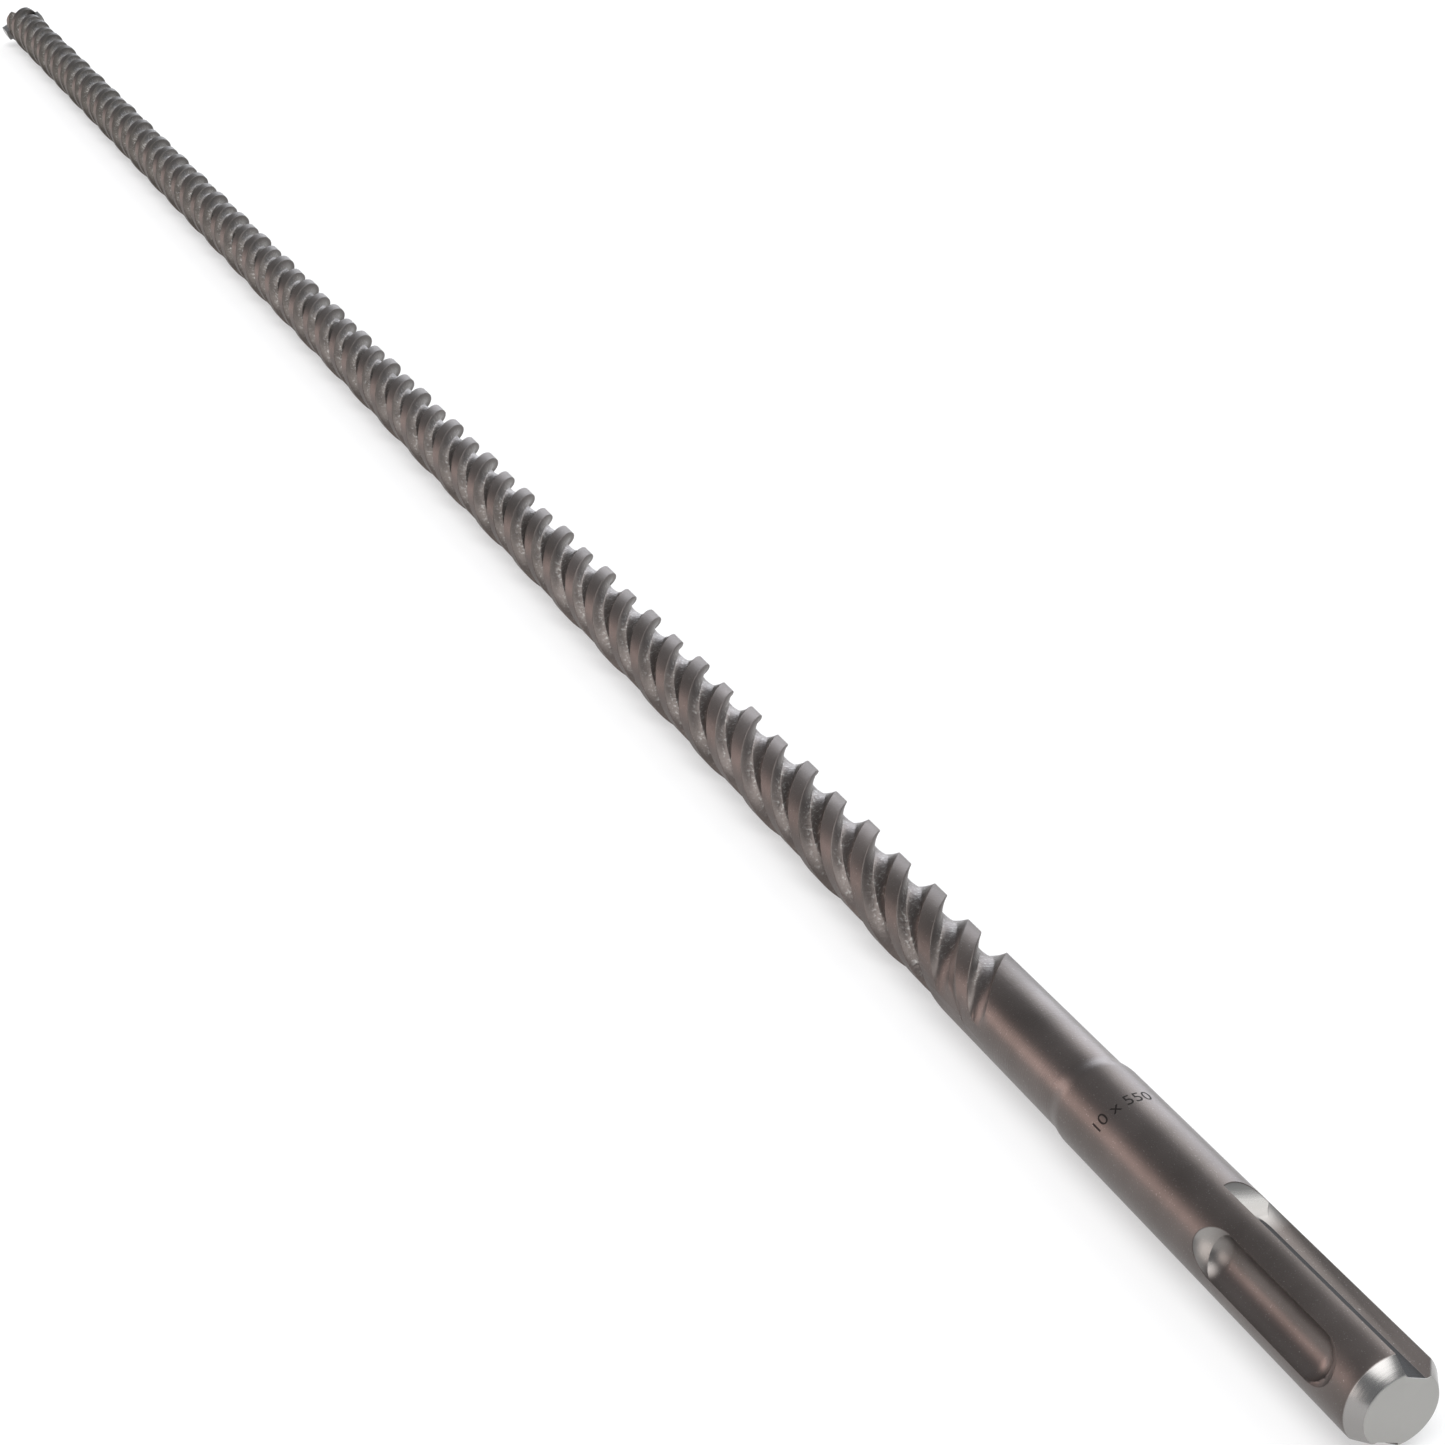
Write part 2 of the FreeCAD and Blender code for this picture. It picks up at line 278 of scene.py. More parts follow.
class MarkSizes(bpy.types.PropertyGroup):
    """The size etched into the shank."""
    text: StringProperty(name="Text", description="Diameter and working length in mm", default="10 x 550")
    height: FloatProperty(name="Height", description="Of the font", default=2.1 * MM, unit="LENGTH")
    place: FloatProperty(name="Place", description="From the end face", default=43.5 * MM, unit="LENGTH")
    angle: FloatProperty(
        name="Angle", description="Middle of the text", default=math.radians(-22.0), subtype="ANGLE")


class StageSizes(bpy.types.PropertyGroup):
    """Camera, floor and lights."""
    camera_back: FloatProperty(
        name="Camera back", description="Behind the end", default=144.6 * MM, unit="LENGTH")
    camera_side: FloatProperty(
        name="Camera side", description="Beside the axis", default=128.63 * MM, unit="LENGTH")
    camera_up: FloatProperty(
        name="Camera up", description="Over the axis", default=158.09 * MM, unit="LENGTH")
    lens: FloatProperty(
        name="Lens", description="In mm on a 36 mm sensor", default=67.75, unit="CAMERA")


def linear(hexa):
    """A colour from its sRGB hex value, in linear light."""
    parts = [int(hexa[k:k + 2], 16) / 255 for k in (1, 3, 5)]
    return tuple(c / 12.92 if c <= 0.04045 else ((c + 0.055) / 1.055) ** 2.4 for c in parts) + (1.0,)


class FinishColours(bpy.types.PropertyGroup):
    """Colours of the finishes."""
    steel: FloatVectorProperty(
        name="Steel", description="Tempered steel", size=4, subtype="COLOR", default=linear("#6b6461"))
    steel_dark: FloatVectorProperty(
        name="Steel, dark", description="Darkest tempering tint", size=4, subtype="COLOR",
        default=linear("#5b5552"))
    # Painted shade: the skin's colour towards the head, where the light falls off
    steel_painted_shade: FloatVectorProperty(
        name="Steel, head", description="Tint towards the head", size=4, subtype="COLOR",
        default=linear("#4d4945"))
    # Also the colour of the painted glints and of the painted highlight where the slots and grooves end
    bare: FloatVectorProperty(
        name="Bare steel", description="Ground end and worn specks", size=4, subtype="COLOR",
        default=linear("#b0afac"))
    turned: FloatVectorProperty(
        name="Turned steel", description="Chamfer and the ends of the grooves", size=4, subtype="COLOR",
        default=linear("#989694"))
    carbide: FloatVectorProperty(
        name="Carbide", description="Sintered carbide", size=4, subtype="COLOR", default=linear("#8c8a88"))
    etched: FloatVectorProperty(
        name="Etched steel", description="Size mark", size=4, subtype="COLOR", default=linear("#2e2b2a"))
    # Painted shade: the black put on the slots' floors, where they lie in shade
    scale: FloatVectorProperty(
        name="Scale", description="Scale left on the slots' floors", size=4, subtype="COLOR",
        default=linear("#161413"))
    floor: FloatVectorProperty(
        name="Floor", description="Pale floor", size=4, subtype="COLOR", default=linear("#fbfbfb"))


def around(radius, angle, x=0.0):
    """A point at an angle about the bit's axis."""
    return Vector((x, -radius * math.sin(angle), radius * math.cos(angle)))


def angle_of(point):
    """The angle about the bit's axis at which a point lies."""
    return math.atan2(-point.y, point.z)


def along(distance):
    """The X of a distance from the shank's end face."""
    return SHANK_END + distance


def chain(bm, points, closed=False):
    """Edges from point to point."""
    verts = [bm.verts.new(p) for p in points]
    pairs = list(zip(verts, verts[1:])) + ([(verts[-1], verts[0])] if closed else [])
    return [bm.edges.new(p) for p in pairs]


def with_ends(edges):
    """The edges and the corners at their ends, each once and in the same order every run."""
    return list(dict.fromkeys(v for e in edges for v in e.verts)) + list(edges)


def swept(bm, edges, length, turn, steps):
    """Carries a profile along the bit's axis while it turns."""
    bmesh.ops.spin(bm, geom=with_ends(edges), cent=(0, 0, 0), axis=AXIS, dvec=AXIS * (length / steps),
                   angle=turn, steps=steps, use_merge=False, use_duplicate=False)


def lathed(bm, edges, steps):
    """Spins a profile once round the bit's axis."""
    bmesh.ops.spin(bm, geom=with_ends(edges), cent=(0, 0, 0), axis=AXIS, dvec=(0, 0, 0), angle=FULL_TURN,
                   steps=steps, use_merge=True, use_duplicate=False)
    bmesh.ops.remove_doubles(bm, verts=bm.verts, dist=DOUBLES)


def closed_up(bm):
    """Fills the open ends and turns every face outwards."""
    bmesh.ops.holes_fill(bm, edges=bm.edges)
    bmesh.ops.recalc_face_normals(bm, faces=bm.faces)
    return bm


def rounded(bm, edges, offset):
    """Rounds edges over. The bands keep their own shading, so that the faces beside them stay clean."""
    bands = set(bmesh.ops.bevel(
        bm, geom=edges, affect="EDGES", offset=offset, segments=BAND_SEGMENTS, profile=0.5,
        material=-1, clamp_overlap=True)["faces"])
    for band in bands:
        for edge in band.edges:
            if not all(face in bands for face in edge.link_faces):
                edge.smooth = False


def shown(bm, name, material=None):
    """An object from a bmesh, smooth between its sharp edges."""
    for face in bm.faces:
        face.smooth = True
    for edge in bm.edges:
        if edge.calc_face_angle(0.0) > SHARP:
            edge.smooth = False
    mesh = bpy.data.meshes.new(name)
    bm.to_mesh(mesh)
    bm.free()
    thing = bpy.data.objects.new(name, mesh)
    if material:
        mesh.materials.append(material)
    bpy.context.scene.collection.objects.link(thing)
    return thing


def carved(base, cutters, operation="DIFFERENCE"):
    """What is left of a closed bmesh once others are cut from it, or once it is kept inside them."""
    thing = shown(base, "blank")
    tools = [shown(cutter, "cutter") for cutter in cutters]
    for tool in tools:
        carve = thing.modifiers.new("carve", "BOOLEAN")
        carve.operation = operation
        carve.solver = "EXACT"
        carve.object = tool
    shape = thing.evaluated_get(bpy.context.evaluated_depsgraph_get())
    result = bmesh.new()
    result.from_mesh(shape.to_mesh())
    shape.to_mesh_clear()
    for scrap in [thing] + tools:
        mesh = scrap.data
        bpy.data.objects.remove(scrap)
        bpy.data.meshes.remove(mesh)
    bmesh.ops.remove_doubles(result, verts=result.verts, dist=DOUBLES)
    return result


def opened(bm, x):
    """Takes away the cap in the plane at x."""
    caps = [f for f in bm.faces if all(abs(v.co.x - x) < DOUBLES for v in f.verts)]
    bmesh.ops.delete(bm, geom=caps, context="FACES")
    return bm


def joined(pieces):
    """One bmesh of several, merged where their open ends meet."""
    whole = bmesh.new()
    for piece in pieces:
        mesh = bpy.data.meshes.new("piece")
        piece.to_mesh(mesh)
        piece.free()
        whole.from_mesh(mesh)
        bpy.data.meshes.remove(mesh)
    bmesh.ops.remove_doubles(whole, verts=whole.verts, dist=DOUBLES)
    return whole


# Shank

def slot_cutter(sizes, turn):
    """What an open slot takes out: a channel with two corners in its floor, climbing out on a disc's arc."""
    radius = sizes.diameter / 2
    floor = sizes.slot_floor_angle
    near, far = [
        Vector((radius * math.cos(a - floor), radius * math.sin(a - floor)))
        for a in (sizes.slot_near_angle, sizes.slot_far_angle)
    ]
    feet = [Vector(foot) for foot in SLOT_FEET]

    # the walls go on past the skin by as much again as they rise to it
    section = [near * 2 - feet[0]] + feet + [far * 2 - feet[-1]]
    channel = bmesh.new()
    start = along(-CUTTER_REACH)
    edges = chain(channel, [Vector((start, -t, h)) for h, t in section], closed=True)
    swept(channel, edges, sizes.slot_length + 2 * CUTTER_REACH, 0.0, 1)

    # the disc's path, as wide as the shank: level up to where the disc starts to leave, then its arc
    low = feet[-1].x - SLOT_DISC_SINK
    top = low + sizes.slot_disc
    reach = math.sqrt(sizes.slot_disc ** 2 - (top - radius) ** 2)
    leaves = along(sizes.slot_length - reach)
    path = bmesh.new()
    corners = [(start, radius, top), (start, radius, low), (leaves, radius, low)]
    edges = chain(path, [Vector(corner) for corner in corners])
    last = edges[-1].verts[1]
    bmesh.ops.spin(path, geom=[last], cent=(leaves, radius, top), axis=(0, 1, 0), angle=-QUARTER_TURN,
                   steps=DISC_STEPS, use_merge=False, use_duplicate=False)
    bmesh.ops.contextual_create(path, geom=list(path.verts))
    walls = bmesh.ops.extrude_face_region(path, geom=list(path.faces))["geom"]
    moved = [g for g in walls if isinstance(g, bmesh.types.BMVert)]
    bmesh.ops.translate(path, verts=moved, vec=(0, -2 * radius, 0))
    bmesh.ops.recalc_face_normals(path, faces=path.faces)
    bm = carved(closed_up(channel), [path], "INTERSECT")
    bmesh.ops.rotate(bm, verts=bm.verts, cent=(0, 0, 0), matrix=Matrix.Rotation(floor + turn, 3, AXIS))
    bmesh.ops.recalc_face_normals(bm, faces=bm.faces)
    return bm


def trough_cutter(sizes, ball, depth, start, end, turn):
    """A round-ended trough, as a ball cuts it, between two distances from the shank's end."""
    height = sizes.diameter / 2 - depth + ball
    reach = math.sqrt(ball ** 2 - (ball - depth) ** 2)
    first, last = along(start + reach), along(end - reach)
    bm = bmesh.new()
    pole = bm.verts.new((first - ball, 0, 0))
    bmesh.ops.spin(bm, geom=[pole], cent=(first, 0, 0), axis=(0, 1, 0), angle=QUARTER_TURN,
                   steps=BALL_STEPS, use_merge=False, use_duplicate=False)
    top = max(bm.verts, key=lambda v: v.co.z)
    far_top = bmesh.ops.extrude_vert_indiv(bm, verts=[top])["verts"][0]
    far_top.co.x = last
    bmesh.ops.spin(bm, geom=[far_top], cent=(last, 0, 0), axis=(0, 1, 0), angle=QUARTER_TURN,
                   steps=BALL_STEPS, use_merge=False, use_duplicate=False)
    lathed(bm, list(bm.edges), ROUND_STEPS)
    bmesh.ops.translate(bm, verts=bm.verts, vec=UP * height)
    spin = Matrix.Rotation(sizes.groove_angle + turn, 3, AXIS)
    bmesh.ops.rotate(bm, verts=bm.verts, cent=(0, 0, 0), matrix=spin)
    return closed_up(bm)


def shank_mesh(sizes, end):
    """The turned shank with its slots and grooves, open where the neck goes on."""
    radius, neck = sizes.diameter / 2, sizes.neck_diameter / 2
    bm = bmesh.new()
    corners = [
        Vector((SHANK_END, 0, 0)),
        around(sizes.end_face / 2, 0.0, SHANK_END),
        around(radius, 0.0, along(sizes.end_chamfer)),
        around(radius, 0.0, along(sizes.length)),
        around(neck, 0.0, along(sizes.neck_start)),
        around(neck, 0.0, end),
        Vector((end, 0, 0)),
    ]
    chain(bm, corners)
    bm.verts.ensure_lookup_table()

    # the chamfer's two corners, and the step's
    turned, step = bm.verts[1:3], bm.verts[3:5]
    bmesh.ops.bevel(bm, geom=turned, affect="VERTICES", offset=EDGE_ROUNDING, segments=EDGE_SEGMENTS,
                    profile=0.5, material=-1)
    bmesh.ops.bevel(bm, geom=step, affect="VERTICES", offset=STEP_ROUNDING, segments=STEP_SEGMENTS,
                    profile=0.5, material=-1)

    # rings along the skin, but none on the flat ends
    long_edges = [e for e in bm.edges if e.calc_length() > SHANK_RING and e.verts[0].co.z > neck / 2
                  and e.verts[1].co.z > neck / 2]
    for edge in long_edges:
        bmesh.ops.subdivide_edges(bm, edges=[edge], cuts=int(edge.calc_length() / SHANK_RING))
    lathed(bm, list(bm.edges), ROUND_STEPS)
    closed_up(bm)
    cutters = [slot_cutter(sizes, turn) for turn in (0.0, HALF_TURN)]
    for turn in (0.0, HALF_TURN):
        cutters.append(trough_cutter(
            sizes, sizes.lead_in_ball, sizes.lead_in_depth, sizes.groove_start, sizes.groove_end, turn))
        cutters.append(trough_cutter(
            sizes, sizes.groove_ball, sizes.groove_depth, sizes.groove_start + sizes.front_lip,
            sizes.groove_end - sizes.rear_lip, turn))
    shank = opened(carved(bm, cutters), end)
    rounded(shank, [e for e in shank.edges if e.calc_face_angle(0.0) > CUT_EDGE], CUT_ROUNDING)
    bmesh.ops.remove_doubles(shank, verts=shank.verts, dist=DOUBLES)
    return shank


# Flutes

def corner_angles(flutes):
    """The angles of the sixteen corners of the section, from the middle of a tall land."""
    angles = []
    for start in (0.0, QUARTER_TURN, HALF_TURN, HALF_TURN + QUARTER_TURN):
        angles += [
            start + flutes.land_half,
            start + flutes.land_half + flutes.wall_angle,
            start + flutes.floor_end,
            start + QUARTER_TURN - flutes.land_half,
        ]
    return angles


def corner_radii(shank, flutes, distance):
    """The radii of the sixteen corners at a distance from the shank's end. Towards the shank they grow past
    the neck's radius, and there the neck is round."""
    neck = shank.neck_diameter / 2
    clear = neck / math.cos(flutes.land_half)

    def foot(whole, end):
        before = max(0.0, (end + flutes.runout - distance) / flutes.runout)
        return whole + (neck - whole) * before ** 2

    core = flutes.core / 2
    before = max(0.0, (flutes.whole_from - distance) / TALL_LAND_FADE)
    tall = flutes.tall_land / 2 + (clear - flutes.tall_land / 2) * before ** 2
    before = max(0.0, (flutes.low_land_end + flutes.low_land_fade - distance) / flutes.low_land_fade)
    low = flutes.low_land / 2 + (clear - flutes.low_land / 2) * before ** 2
    radii = []
    for edge, next_edge, end in ((tall, low, flutes.short_end), (low, tall, flutes.long_end)) * 2:
        radii += [edge, foot(core, end + flutes.skew), foot(core + flutes.floor_rise, end), next_edge]
    return radii


def turn_at(flutes, distance):
    """Where the middle of the first tall land stands."""
    return flutes.start_angle + FULL_TURN * distance / flutes.lead


def straight_radius(angles, radii, angle):
    """The radius, at an angle, of the straight line between the two corners on either side of it."""
    angle = (angle - angles[0]) % FULL_TURN + angles[0]
    count = len(angles)
    low = max(k for k in range(count) if angles[k] <= angle + TINY)
    a, ra = angles[low], radii[low]
    b, rb = (angles[low + 1], radii[low + 1]) if low + 1 < count else (angles[0] + FULL_TURN, radii[0])
    return ra * rb * math.sin(b - a) / (ra * math.sin(angle - a) + rb * math.sin(b - angle))


def section_loop(bm, shank, flutes, distance):
    """The whole section as a loop of edges: rounded corners, lands bulged out to their round tops."""
    turn = turn_at(flutes, distance)
    angles = corner_angles(flutes)
    radii = corner_radii(shank, flutes, flutes.whole_from)
    chain(bm, [around(r, a + turn, along(distance)) for r, a in zip(radii, angles)], closed=True)
    bmesh.ops.bevel(bm, geom=bm.verts[:], affect="VERTICES", offset=CORNER_ROUNDING,
                    segments=BAND_SEGMENTS, profile=0.5, material=-1)
    for edge in list(bm.edges):
        cuts = int(edge.calc_length() / SECTION_STEP)
        if cuts:
            bmesh.ops.subdivide_edges(bm, edges=[edge], cuts=cuts)
    for v in bm.verts:
        angle = (angle_of(v.co) - turn) % HALF_TURN
        for middle, radius in ((0.0, flutes.tall_land / 2), (QUARTER_TURN, flutes.low_land / 2),
                               (HALF_TURN, flutes.tall_land / 2)):
            if abs(angle - middle) < flutes.land_half - LAND_EDGE:
                v.co = around(radius, angle_of(v.co), v.co.x)
    return list(bm.edges)


def fluted_mesh(shank, flutes, start, length):
    """A stretch of the fluted rod. Before the flutes are whole, its surface climbs out past the neck."""
    bm = bmesh.new()
    edges = section_loop(bm, shank, flutes, start)
    swept(bm, edges, length, FULL_TURN * length / flutes.lead, max(1, round(length / RING_STEP)))
    if start < flutes.whole_from:
        angles = corner_angles(flutes)
        whole = corner_radii(shank, flutes, flutes.whole_from)
        for v in bm.verts:
            distance = v.co.x - SHANK_END
            if distance < flutes.whole_from:
                at = angle_of(v.co)
                angle = at - turn_at(flutes, distance)
                lift = straight_radius(angles, corner_radii(shank, flutes, distance), angle)
                lift -= straight_radius(angles, whole, angle)
                v.co = around(math.hypot(v.co.y, v.co.z) + lift, at, v.co.x)
    return bm


def rod_mesh(shank, flutes, start, count):
    """The rod from a start: stretches of half a turn, each the last one moved along by half the lead."""
    half = flutes.lead / 2
    bm = fluted_mesh(shank, flutes, start, half)
    first = list(bm.verts) + list(bm.edges) + list(bm.faces)
    for k in range(1, count):
        copy = bmesh.ops.duplicate(bm, geom=first)["geom"]
        moved = [g for g in copy if isinstance(g, bmesh.types.BMVert)]
        bmesh.ops.translate(bm, verts=moved, vec=AXIS * (k * half))
    bmesh.ops.remove_doubles(bm, verts=bm.verts, dist=DOUBLES)
    return bm


def runout_mesh(shank, flutes, start, end):
    """The stretch where the flutes climb out: the climbing surface kept inside the round neck."""
    climbing = closed_up(fluted_mesh(shank, flutes, start, end - start))
    round_neck = bmesh.new()
    neck = shank.neck_diameter / 2
    ends = [around(neck, 0.0, along(start) - CUTTER_REACH), around(neck, 0.0, along(end) + CUTTER_REACH)]
    lathed(round_neck, chain(round_neck, ends), ROUND_STEPS)
    kept = carved(climbing, [closed_up(round_neck)], "INTERSECT")
    return opened(opened(kept, along(start)), along(end))


def head_mesh(shank, flutes, tip, start):
    """The head: the rod's last stretch turned to a cone, with the plate's seat cut across it."""
    total = POINT - SHANK_END
    rod = closed_up(fluted_mesh(shank, flutes, start, total - start))
    slope = 1 / math.tan(tip.point / 2)
    apex = POINT - tip.setback
    cone = bmesh.new()
    outline = [
        Vector((along(start) - CUTTER_REACH, 0, 0)),
        around(tip.width, 0.0, along(start) - CUTTER_REACH),
        around(tip.width, 0.0, apex - tip.width * slope),
        Vector((apex, 0, 0)),
    ]
    lathed(cone, chain(cone, outline), ROUND_STEPS)
    pointed = carved(rod, [closed_up(cone)], "INTERSECT")
    seat = bmesh.new()
    bmesh.ops.create_cube(seat, size=1.0)
    bmesh.ops.scale(seat, verts=seat.verts, vec=(2 * tip.height, tip.thickness, 2 * tip.width))
    bmesh.ops.translate(seat, verts=seat.verts, vec=(POINT, 0, 0))
    bmesh.ops.rotate(seat, verts=seat.verts, cent=(0, 0, 0), matrix=Matrix.Rotation(tip.angle, 3, AXIS))
    return opened(carved(closed_up(pointed), [seat]), along(start))


# Finishes

def add(tree, kind, settings=None, **inputs):
    """A shader node with its settings, and its sockets set to values or linked from other nodes' sockets."""
    node = tree.nodes.new(kind)
    for key, value in (settings or {}).items():
        setattr(node, key, value)
    for key, value in inputs.items():
        socket = node.inputs[int(key[1:])] if key[1:].isdigit() else node.inputs[key.replace("_", " ")]
        if isinstance(value, bpy.types.NodeSocket):
            tree.links.new(value, socket)
        else:
            socket.default_value = value
    return node


def ramp(node, stops):
    """Sets a colour ramp's stops: positions with grey values or colours."""
    stops = list(stops)
    elements = node.color_ramp.elements
    while len(elements) < len(stops):
        elements.new(0.5)
    for element, (place, value) in zip(elements, stops):
        element.position = place
        element.color = (value, value, value, 1.0) if isinstance(value, float) else value
    return node


def new_material(name):
    """An empty material with its node tree and its output."""
    material = bpy.data.materials.new(name)
    material.use_nodes = True
    material.node_tree.nodes.clear()
    return material, material.node_tree, add(material.node_tree, "ShaderNodeOutputMaterial")


def tempered_steel(colours):
    """Hardened and tempered steel, turned, blasted and worn by use. It gives the eye a dark brown-grey
    satin skin with slow tints, painted shade towards the head, pale specks, dull lands, painted glints on
    the flutes' floors, black painted shade on the slots' floors, turning marks on the neck, and bare metal on
    the end face and on its chamfer, and bare metal with a painted highlight where the slots and grooves end."""
    material, tree, output = new_material("Tempered steel")
    place = add(tree, "ShaderNodeTexCoord").outputs["Object"]
    x = add(tree, "ShaderNodeSeparateXYZ", Vector=place).outputs[0]
    flat = add(tree, "ShaderNodeVectorMath", {"operation": "MULTIPLY"}, _0=place, _1=(0.0, 1.0, 1.0))
    radius = add(tree, "ShaderNodeVectorMath", {"operation": "LENGTH"}, _0=flat.outputs[0]).outputs["Value"]

    # how far a place lies on the floor of a flute
    fluted = add(tree, "ShaderNodeMapRange", _0=x, _1=along(FLUTED_FROM[0]), _2=along(FLUTED_FROM[1]))
    deep = add(tree, "ShaderNodeMapRange", _0=radius, _1=FLUTE_FLOOR[0], _2=FLUTE_FLOOR[1])
    floor = add(tree, "ShaderNodeMath", {"operation": "MULTIPLY"}, _0=fluted.outputs[0], _1=deep.outputs[0])

    # the skin: slow tempering tints, darker towards the head as painted shade where the light falls off, with
    # pale specks where the scale has come off and painted glints on the flutes' floors
    tint = add(tree, "ShaderNodeTexNoise", Vector=place, Scale=1 / TINT_PATCH, Detail=3.0)
    skin = ramp(add(tree, "ShaderNodeValToRGB", Fac=tint.outputs[0]),
                zip(TINT_STOPS, (tuple(colours.steel_dark), tuple(colours.steel))))
    ahead = add(tree, "ShaderNodeMapRange", _0=x, _1=along(HEAD_SHADE[0]), _2=along(HEAD_SHADE[1]))
    darker = add(tree, "ShaderNodeMix", {"data_type": "RGBA"}, _0=ahead.outputs[0], _6=skin.outputs[0],
                 _7=tuple(colours.steel_painted_shade))
    fleck = add(tree, "ShaderNodeTexNoise", Vector=place, Scale=1 / SPECK, Detail=2.0)
    specks = ramp(add(tree, "ShaderNodeValToRGB", Fac=fleck.outputs[0]), SPECK_STOPS)
    specked = add(tree, "ShaderNodeMix", {"data_type": "RGBA"}, _0=specks.outputs[0], _6=darker.outputs[2],
                  _7=tuple(colours.bare))
    pits = add(tree, "ShaderNodeTexNoise", Vector=place, Scale=1 / PIT, Detail=4.0)
    # painted glints: where the pits' noise peaks on the flutes' floors, bare steel's colour is mixed into the
    # skin
    peaks = add(tree, "ShaderNodeMapRange", _0=pits.outputs[0], _1=GLINT_NOISE[0], _2=GLINT_NOISE[1],
                _4=GLINT_SHARE)
    glints = add(tree, "ShaderNodeMath", {"operation": "MULTIPLY"}, _0=peaks.outputs[0], _1=floor.outputs[0])
    worn = add(tree, "ShaderNodeMix", {"data_type": "RGBA"}, _0=glints.outputs[0], _6=specked.outputs[2],
               _7=tuple(colours.bare))

    # bare metal on the ground end face and the turned chamfer, and bare metal with a painted highlight where
    # the slots and grooves end
    face = add(tree, "ShaderNodeMapRange", _0=x, _1=along(END_FACE_DEPTH[0]), _2=along(END_FACE_DEPTH[1]),
               _3=1.0, _4=0.0)
    past = add(tree, "ShaderNodeMath", {"operation": "MULTIPLY_ADD"}, _0=x, _1=-CHAMFER_SLOPE, _2=radius)
    cone = END_FACE_RADIUS - CHAMFER_SLOPE * SHANK_END
    rim = add(tree, "ShaderNodeMapRange", _0=past.outputs[0], _1=cone + CHAMFER_SKIN[0],
              _2=cone + CHAMFER_SKIN[1])
    near = add(tree, "ShaderNodeMapRange", _0=x, _1=along(CHAMFER_END[0]), _2=along(CHAMFER_END[1]),
               _3=1.0, _4=0.0)
    chamfer = add(tree, "ShaderNodeMath", {"operation": "MULTIPLY"}, _0=rim.outputs[0], _1=near.outputs[0])
    end = add(tree, "ShaderNodeMath", {"operation": "MAXIMUM"}, _0=chamfer.outputs[0], _1=face.outputs[0])
    stretch = add(tree, "ShaderNodeMapRange", _0=x, _1=along(BARE_AND_HIGHLIGHT_STRETCH[0]),
                  _2=along(BARE_AND_HIGHLIGHT_STRETCH[1]))
    # the ramp paints a highlight along the slots' run-outs and the grooves' ends, as well as their bare metal
    ends = ramp(add(tree, "ShaderNodeValToRGB", Fac=stretch.outputs[0]), BARE_AND_HIGHLIGHT_STOPS)
    sunk = add(tree, "ShaderNodeMapRange", _0=radius, _1=SUNK_RADIUS[0], _2=SUNK_RADIUS[1], _3=1.0, _4=0.0)
    bare_and_highlight = add(tree, "ShaderNodeMath", {"operation": "MULTIPLY"}, _0=ends.outputs[0],
                    _1=sunk.outputs[0])
    with_bare_and_highlight = add(tree, "ShaderNodeMix", {"data_type": "RGBA"}, _0=bare_and_highlight.outputs[0], _6=worn.outputs[2],
                 _7=tuple(colours.bare))

    # painted shade in the slots: black inside a slot's reach, at its bottom, and before its run-out
    side = add(tree, "ShaderNodeVectorMath", {"operation": "DOT_PRODUCT"}, _0=place,
               _1=around(1.0, SLOT_SIDE))
    depth = add(tree, "ShaderNodeMath", {"operation": "ABSOLUTE"}, _0=side.outputs["Value"])
    in_slot = add(tree, "ShaderNodeMapRange", _0=depth.outputs[0], _1=SLOT_REACH[0], _2=SLOT_REACH[1])
    bottom = add(tree, "ShaderNodeMapRange", _0=radius, _1=SLOT_BOTTOM[0], _2=SLOT_BOTTOM[1],
                 _3=1.0, _4=0.0)
    before = add(tree, "ShaderNodeMapRange", _0=x, _1=along(SLOT_SHADE_END[0]), _2=along(SLOT_SHADE_END[1]),
                 _3=1.0, _4=0.0)
    low = add(tree, "ShaderNodeMath", {"operation": "MULTIPLY"}, _0=in_slot.outputs[0], _1=bottom.outputs[0])
    painted_slot_shade = add(tree, "ShaderNodeMath", {"operation": "MULTIPLY"}, _0=low.outputs[0], _1=before.outputs[0])
    scale = add(tree, "ShaderNodeMix", {"data_type": "RGBA"}, _0=painted_slot_shade.outputs[0], _6=with_bare_and_highlight.outputs[2],
                _7=tuple(colours.scale))
    chamfered = add(tree, "ShaderNodeMix", {"data_type": "RGBA"}, _0=chamfer.outputs[0], _6=scale.outputs[2],
                    _7=tuple(colours.turned))
    colour = add(tree, "ShaderNodeMix", {"data_type": "RGBA"}, _0=face.outputs[0], _6=chamfered.outputs[2],
                 _7=tuple(colours.bare))

    # roughness: satin skin, duller lands, shinier flute floors, smooth chamfer, matt end face
    dull = add(tree, "ShaderNodeMapRange", _0=fluted.outputs[0], _3=SKIN_ROUGHNESS, _4=LAND_ROUGHNESS)
    rough = add(tree, "ShaderNodeMath", {"operation": "MULTIPLY_ADD"}, _0=floor.outputs[0],
                _1=FLOOR_ROUGHNESS_CHANGE, _2=dull.outputs[0])
    rough_end = add(tree, "ShaderNodeMapRange", _0=face.outputs[0], _3=BARE_ROUGHNESS,
                    _4=END_FACE_ROUGHNESS)
    smooth = add(tree, "ShaderNodeMath", {"operation": "MAXIMUM"}, _0=end.outputs[0],
                 _1=bare_and_highlight.outputs[0])
    roughness = add(tree, "ShaderNodeMix", {"data_type": "FLOAT"}, _0=smooth.outputs[0],
                    _2=rough.outputs[0], _3=rough_end.outputs[0])

